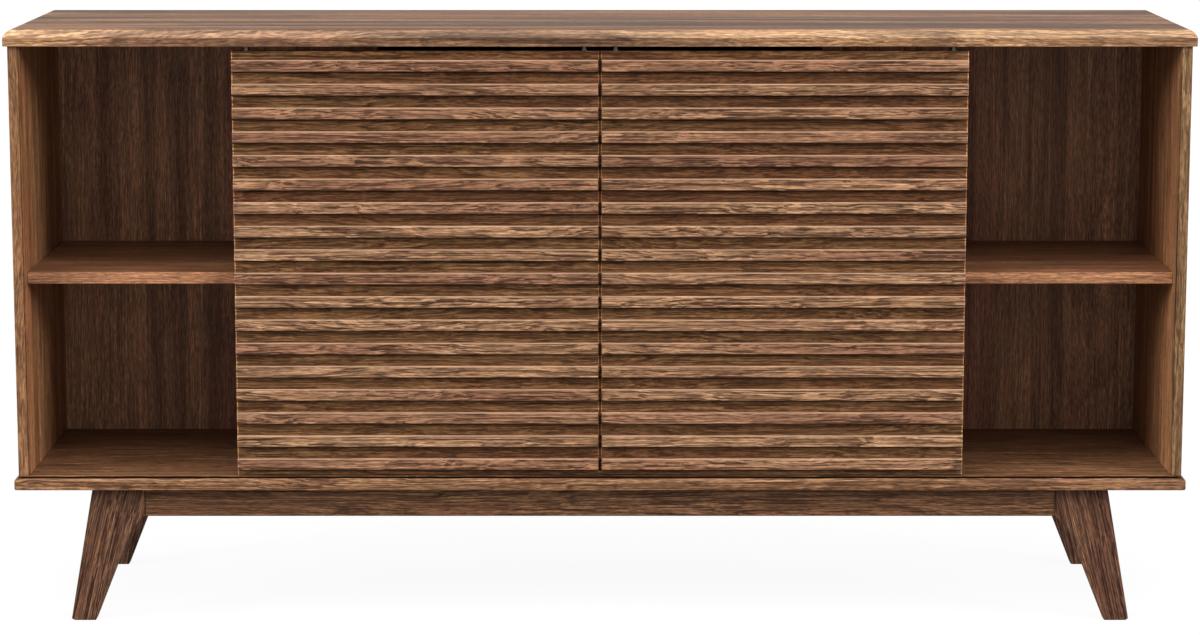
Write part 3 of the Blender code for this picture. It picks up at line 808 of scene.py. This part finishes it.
def makeWheel(name, centre, parts):
    radii = np.array(wheelProfile["radii"]) * parts["wheelRadius"]
    heights = np.array(wheelProfile["heights"]) * parts["wheelHalf"]
    return turned(name, radii, heights, centre, 1)


def makeWasher(name, centre, parts):
    radius = parts["washerRadius"]
    edge = radius * parts["ease"]
    heights = washerHeights * parts["washerHeight"]
    return turned(name, [edge, radius, radius, edge], heights, centre, 2)


def makeNut(name, centre, parts):
    # six flats, with the corners turned off at the top
    angles = np.radians(np.arange(0, 360, 60))
    corner = parts["nutAcross"] / math.sqrt(3)
    six = np.stack([np.cos(angles), np.sin(angles)], axis=-1)
    rings = [six * corner * share for share in nutProfile["radii"]]
    heights = np.array(nutProfile["heights"]) * parts["nutHeight"]
    return shaded(stackRings(name, rings, heights, centre, 2), parts["nutSmooth"])


trackLow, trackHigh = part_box("door_track")
for side in ("left", "right"):
    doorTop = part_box("door_%s_panel" % side)[1].z
    for place in ("inner", "outer"):
        low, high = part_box("door_%s_hanger_%s" % (side, place))
        middle = (low + high) / 2
        label = side.capitalize() + place.capitalize()
        axleZ = trackLow.z + hanging["trackLip"] + hanging["wheelRadius"] + hanging["wheelLift"]
        reach = (high.y - low.y) / 2 + hanging["wheelGap"] + hanging["wheelHalf"]
        parts = dict(hanging, reach=reach)
        for number, shift in enumerate((-1, 1), 1):
            across = middle.x + shift * hanging["axleSpread"]
            axle = makeAxle("axle%s%d" % (label, number), (across, middle.y, axleZ), parts)
            placed(axle, "hanger_steel", "door_" + side)
            for face, way in (("Front", -1), ("Rear", 1)):
                name = "wheel%s%d%s" % (label, number, face)
                wheel = makeWheel(name, (across, middle.y + way * reach, axleZ), parts)
                placed(wheel, "guide_plastic", "door_" + side)
        washer = makeWasher("washer" + label, (middle.x, middle.y, doorTop), parts)
        placed(washer, "hanger_steel", "door_" + side)
        nutFoot = doorTop + hanging["washerHeight"]
        nut = makeNut("nut" + label, (middle.x, middle.y, nutFoot), parts)
        placed(nut, "hanger_steel", "door_" + side)

# stops in the track: one between the doors, one at each end
stops = dict(
    half=0.0032, wall=0.0014, clear=0.0002, endClear=0.0003, doorGap=0.0008, ease=0.0005, steps=2)
inside = stops["wall"] + stops["clear"]
travel = frame["joints"][0]["range_m"][1]
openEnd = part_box("door_right_hanger_outer")[1].x + travel + stops["doorGap"]
stopEnds = {
    "Middle": (-stops["half"], stops["half"]),
    "Left": (trackLow.x + stops["endClear"], -openEnd),
    "Right": (openEnd, trackHigh.x - stops["endClear"]),
}
for label, (leftEnd, rightEnd) in stopEnds.items():
    stop = easedBoard(
        "trackStop" + label, (leftEnd, trackLow.y + inside, trackLow.z + inside),
        (rightEnd, trackHigh.y - inside, trackHigh.z - inside), 2, stops["ease"], stops["steps"])
    placed(stop, "guide_plastic", "carcass")
print("door hardware made")

# shelf pins
pins = dict(
    radius=0.0025, length=0.0085, collar=0.0036, collarLength=0.0012, tip=0.7, tipLength=0.0008,
    frontInset=0.036, rearInset=0.033, drop=0.0001, gap=0.0001, steps=24)


def makePin(name, wall, way, y, z, parts):
    # a collar against the wall and a plain pin, pointing along +X or -X
    radius, collar, length = parts["radius"], parts["collar"], parts["length"]
    radii = [collar, collar, radius, radius, radius * parts["tip"]]
    step = parts["collarLength"]
    ends = [0.0, step, step, length - parts["tipLength"], length]
    if way < 0:
        radii, ends = radii[::-1], [-end for end in ends[::-1]]
    return turned(name, radii, ends, (wall + way * parts["gap"], y, z), 0, parts["steps"])


walls = {
    "left": (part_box("side_panel_left")[1].x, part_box("divider_left")[0].x),
    "centre": (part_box("divider_left")[1].x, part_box("divider_right")[0].x),
    "right": (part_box("divider_right")[1].x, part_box("side_panel_right")[0].x),
}
for bay, (leftWall, rightWall) in walls.items():
    low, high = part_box("shelf_" + bay)
    pinZ = low.z - pins["collar"] - pins["drop"]
    spots = {"Front": low.y + pins["frontInset"], "Rear": high.y - pins["rearInset"]}
    for face, wall, way in (("Left", leftWall, 1), ("Right", rightWall, -1)):
        for spot, pinY in spots.items():
            name = "shelfPin%s%s%s" % (bay.capitalize(), face, spot)
            placed(makePin(name, wall, way, pinY, pinZ, pins), "hanger_steel", "carcass")
print("shelf pins made")

# finishes of the other nodes
finishOf = {
    "back_panel": "walnut_back", "apron_front": "walnut_apron", "apron_rear": "walnut_apron",
    "shelf_left": "walnut_shelf", "shelf_centre": "walnut_shelf", "shelf_right": "walnut_shelf",
    "door_track": "track_metal", "door_guide_rail": "guide_plastic",
}
for side in ("left", "right"):
    finishOf["side_panel_" + side] = "walnut_side"
    finishOf["divider_" + side] = "walnut_side"
    for place in ("inner", "outer"):
        finishOf["door_%s_hanger_%s" % (side, place)] = "hanger_steel"
for name, node in frame["nodes"].items():
    finish = finishOf.get(name)
    if finish:
        node.data.materials.clear()
        node.data.materials.append(finishes[finish])
print("finishes placed")

# floor, light and camera
stage = dict(
    radius=40.0, thickness=0.0198, under=0.0002, steps=96, clouds=(0.8, 0.8, 0.8), tone=0.09,
    drift=0.008, rough=0.9, shown=0.93, lit=0.22)
sky = dict(shown=1.0, lit=0.41, colour=(1.0, 0.995, 0.985))


def paperGlow(tree, parts):
    # one strength for what the camera sees straight on, another for what the paper lights
    seen = addNode(tree, "ShaderNodeLightPath").outputs["Is Camera Ray"]
    return maths(tree, "MULTIPLY_ADD", seen, parts["shown"] - parts["lit"], parts["lit"])


def makeFloor(parts):
    rings = [circleRing(parts["radius"], parts["steps"])] * 2
    heights = (-parts["under"] - parts["thickness"], -parts["under"])
    floor = stackRings("floor", rings, heights, (0.0, 0.0, 0.0), 2)
    material, tree, shader = newMaterial("floorPaper")
    cloud = noise(tree, objectPlace(tree), parts["clouds"], 2.0)
    tone = spread(
        tree, cloud, 0.3, 0.7, parts["tone"] - parts["drift"], parts["tone"] + parts["drift"])
    feed(tree, shader.inputs["Base Color"], tone)
    shader.inputs["Roughness"].default_value = parts["rough"]
    shader.inputs["Specular IOR Level"].default_value = 0.0
    shader.inputs["Emission Color"].default_value = opaque((1.0, 1.0, 1.0))
    feed(tree, shader.inputs["Emission Strength"], paperGlow(tree, parts))
    floor.data.materials.append(material)


makeFloor(stage)

world = bpy.data.worlds.new("studio")
bpy.context.scene.world = world
world.use_nodes = True
background = world.node_tree.nodes["Background"]
background.inputs["Color"].default_value = opaque(sky["colour"])
feed(world.node_tree, background.inputs["Strength"], paperGlow(world.node_tree, sky))

lampColour = (1.0, 0.985, 0.96)
lamps = {
    "key": dict(turn=0.0, height=70.0, energy=1.7, spread=60.0),
    "fillLeft": dict(turn=-63.0, height=20.0, energy=1.75, spread=24.0),
    "fillRight": dict(turn=63.0, height=20.0, energy=1.75, spread=24.0),
}
for name, lamp in lamps.items():
    light = bpy.data.lights.new(name, "SUN")
    light.energy = lamp["energy"]
    light.angle = math.radians(lamp["spread"])
    light.color = lampColour
    # a sun shines along its own -Z
    turn = (math.radians(90.0 - lamp["height"]), 0.0, math.radians(lamp["turn"]))
    added(name, light).rotation_euler = turn

view = dict(distance=4.7732, height=1.1637, tilt=9.156, lens=102.695, sensor=36.0, far=200.0)
camera = added("camera", bpy.data.cameras.new("camera"))
camera.data.lens = view["lens"]
camera.data.sensor_width = view["sensor"]
camera.data.clip_end = view["far"]
camera.location = (0.0, -view["distance"], view["height"])
camera.rotation_euler = (math.radians(90.0 - view["tilt"]), 0.0, 0.0)
bpy.context.scene.camera = camera
bpy.context.scene.view_settings.view_transform = "Standard"
print("floor, light and camera placed")
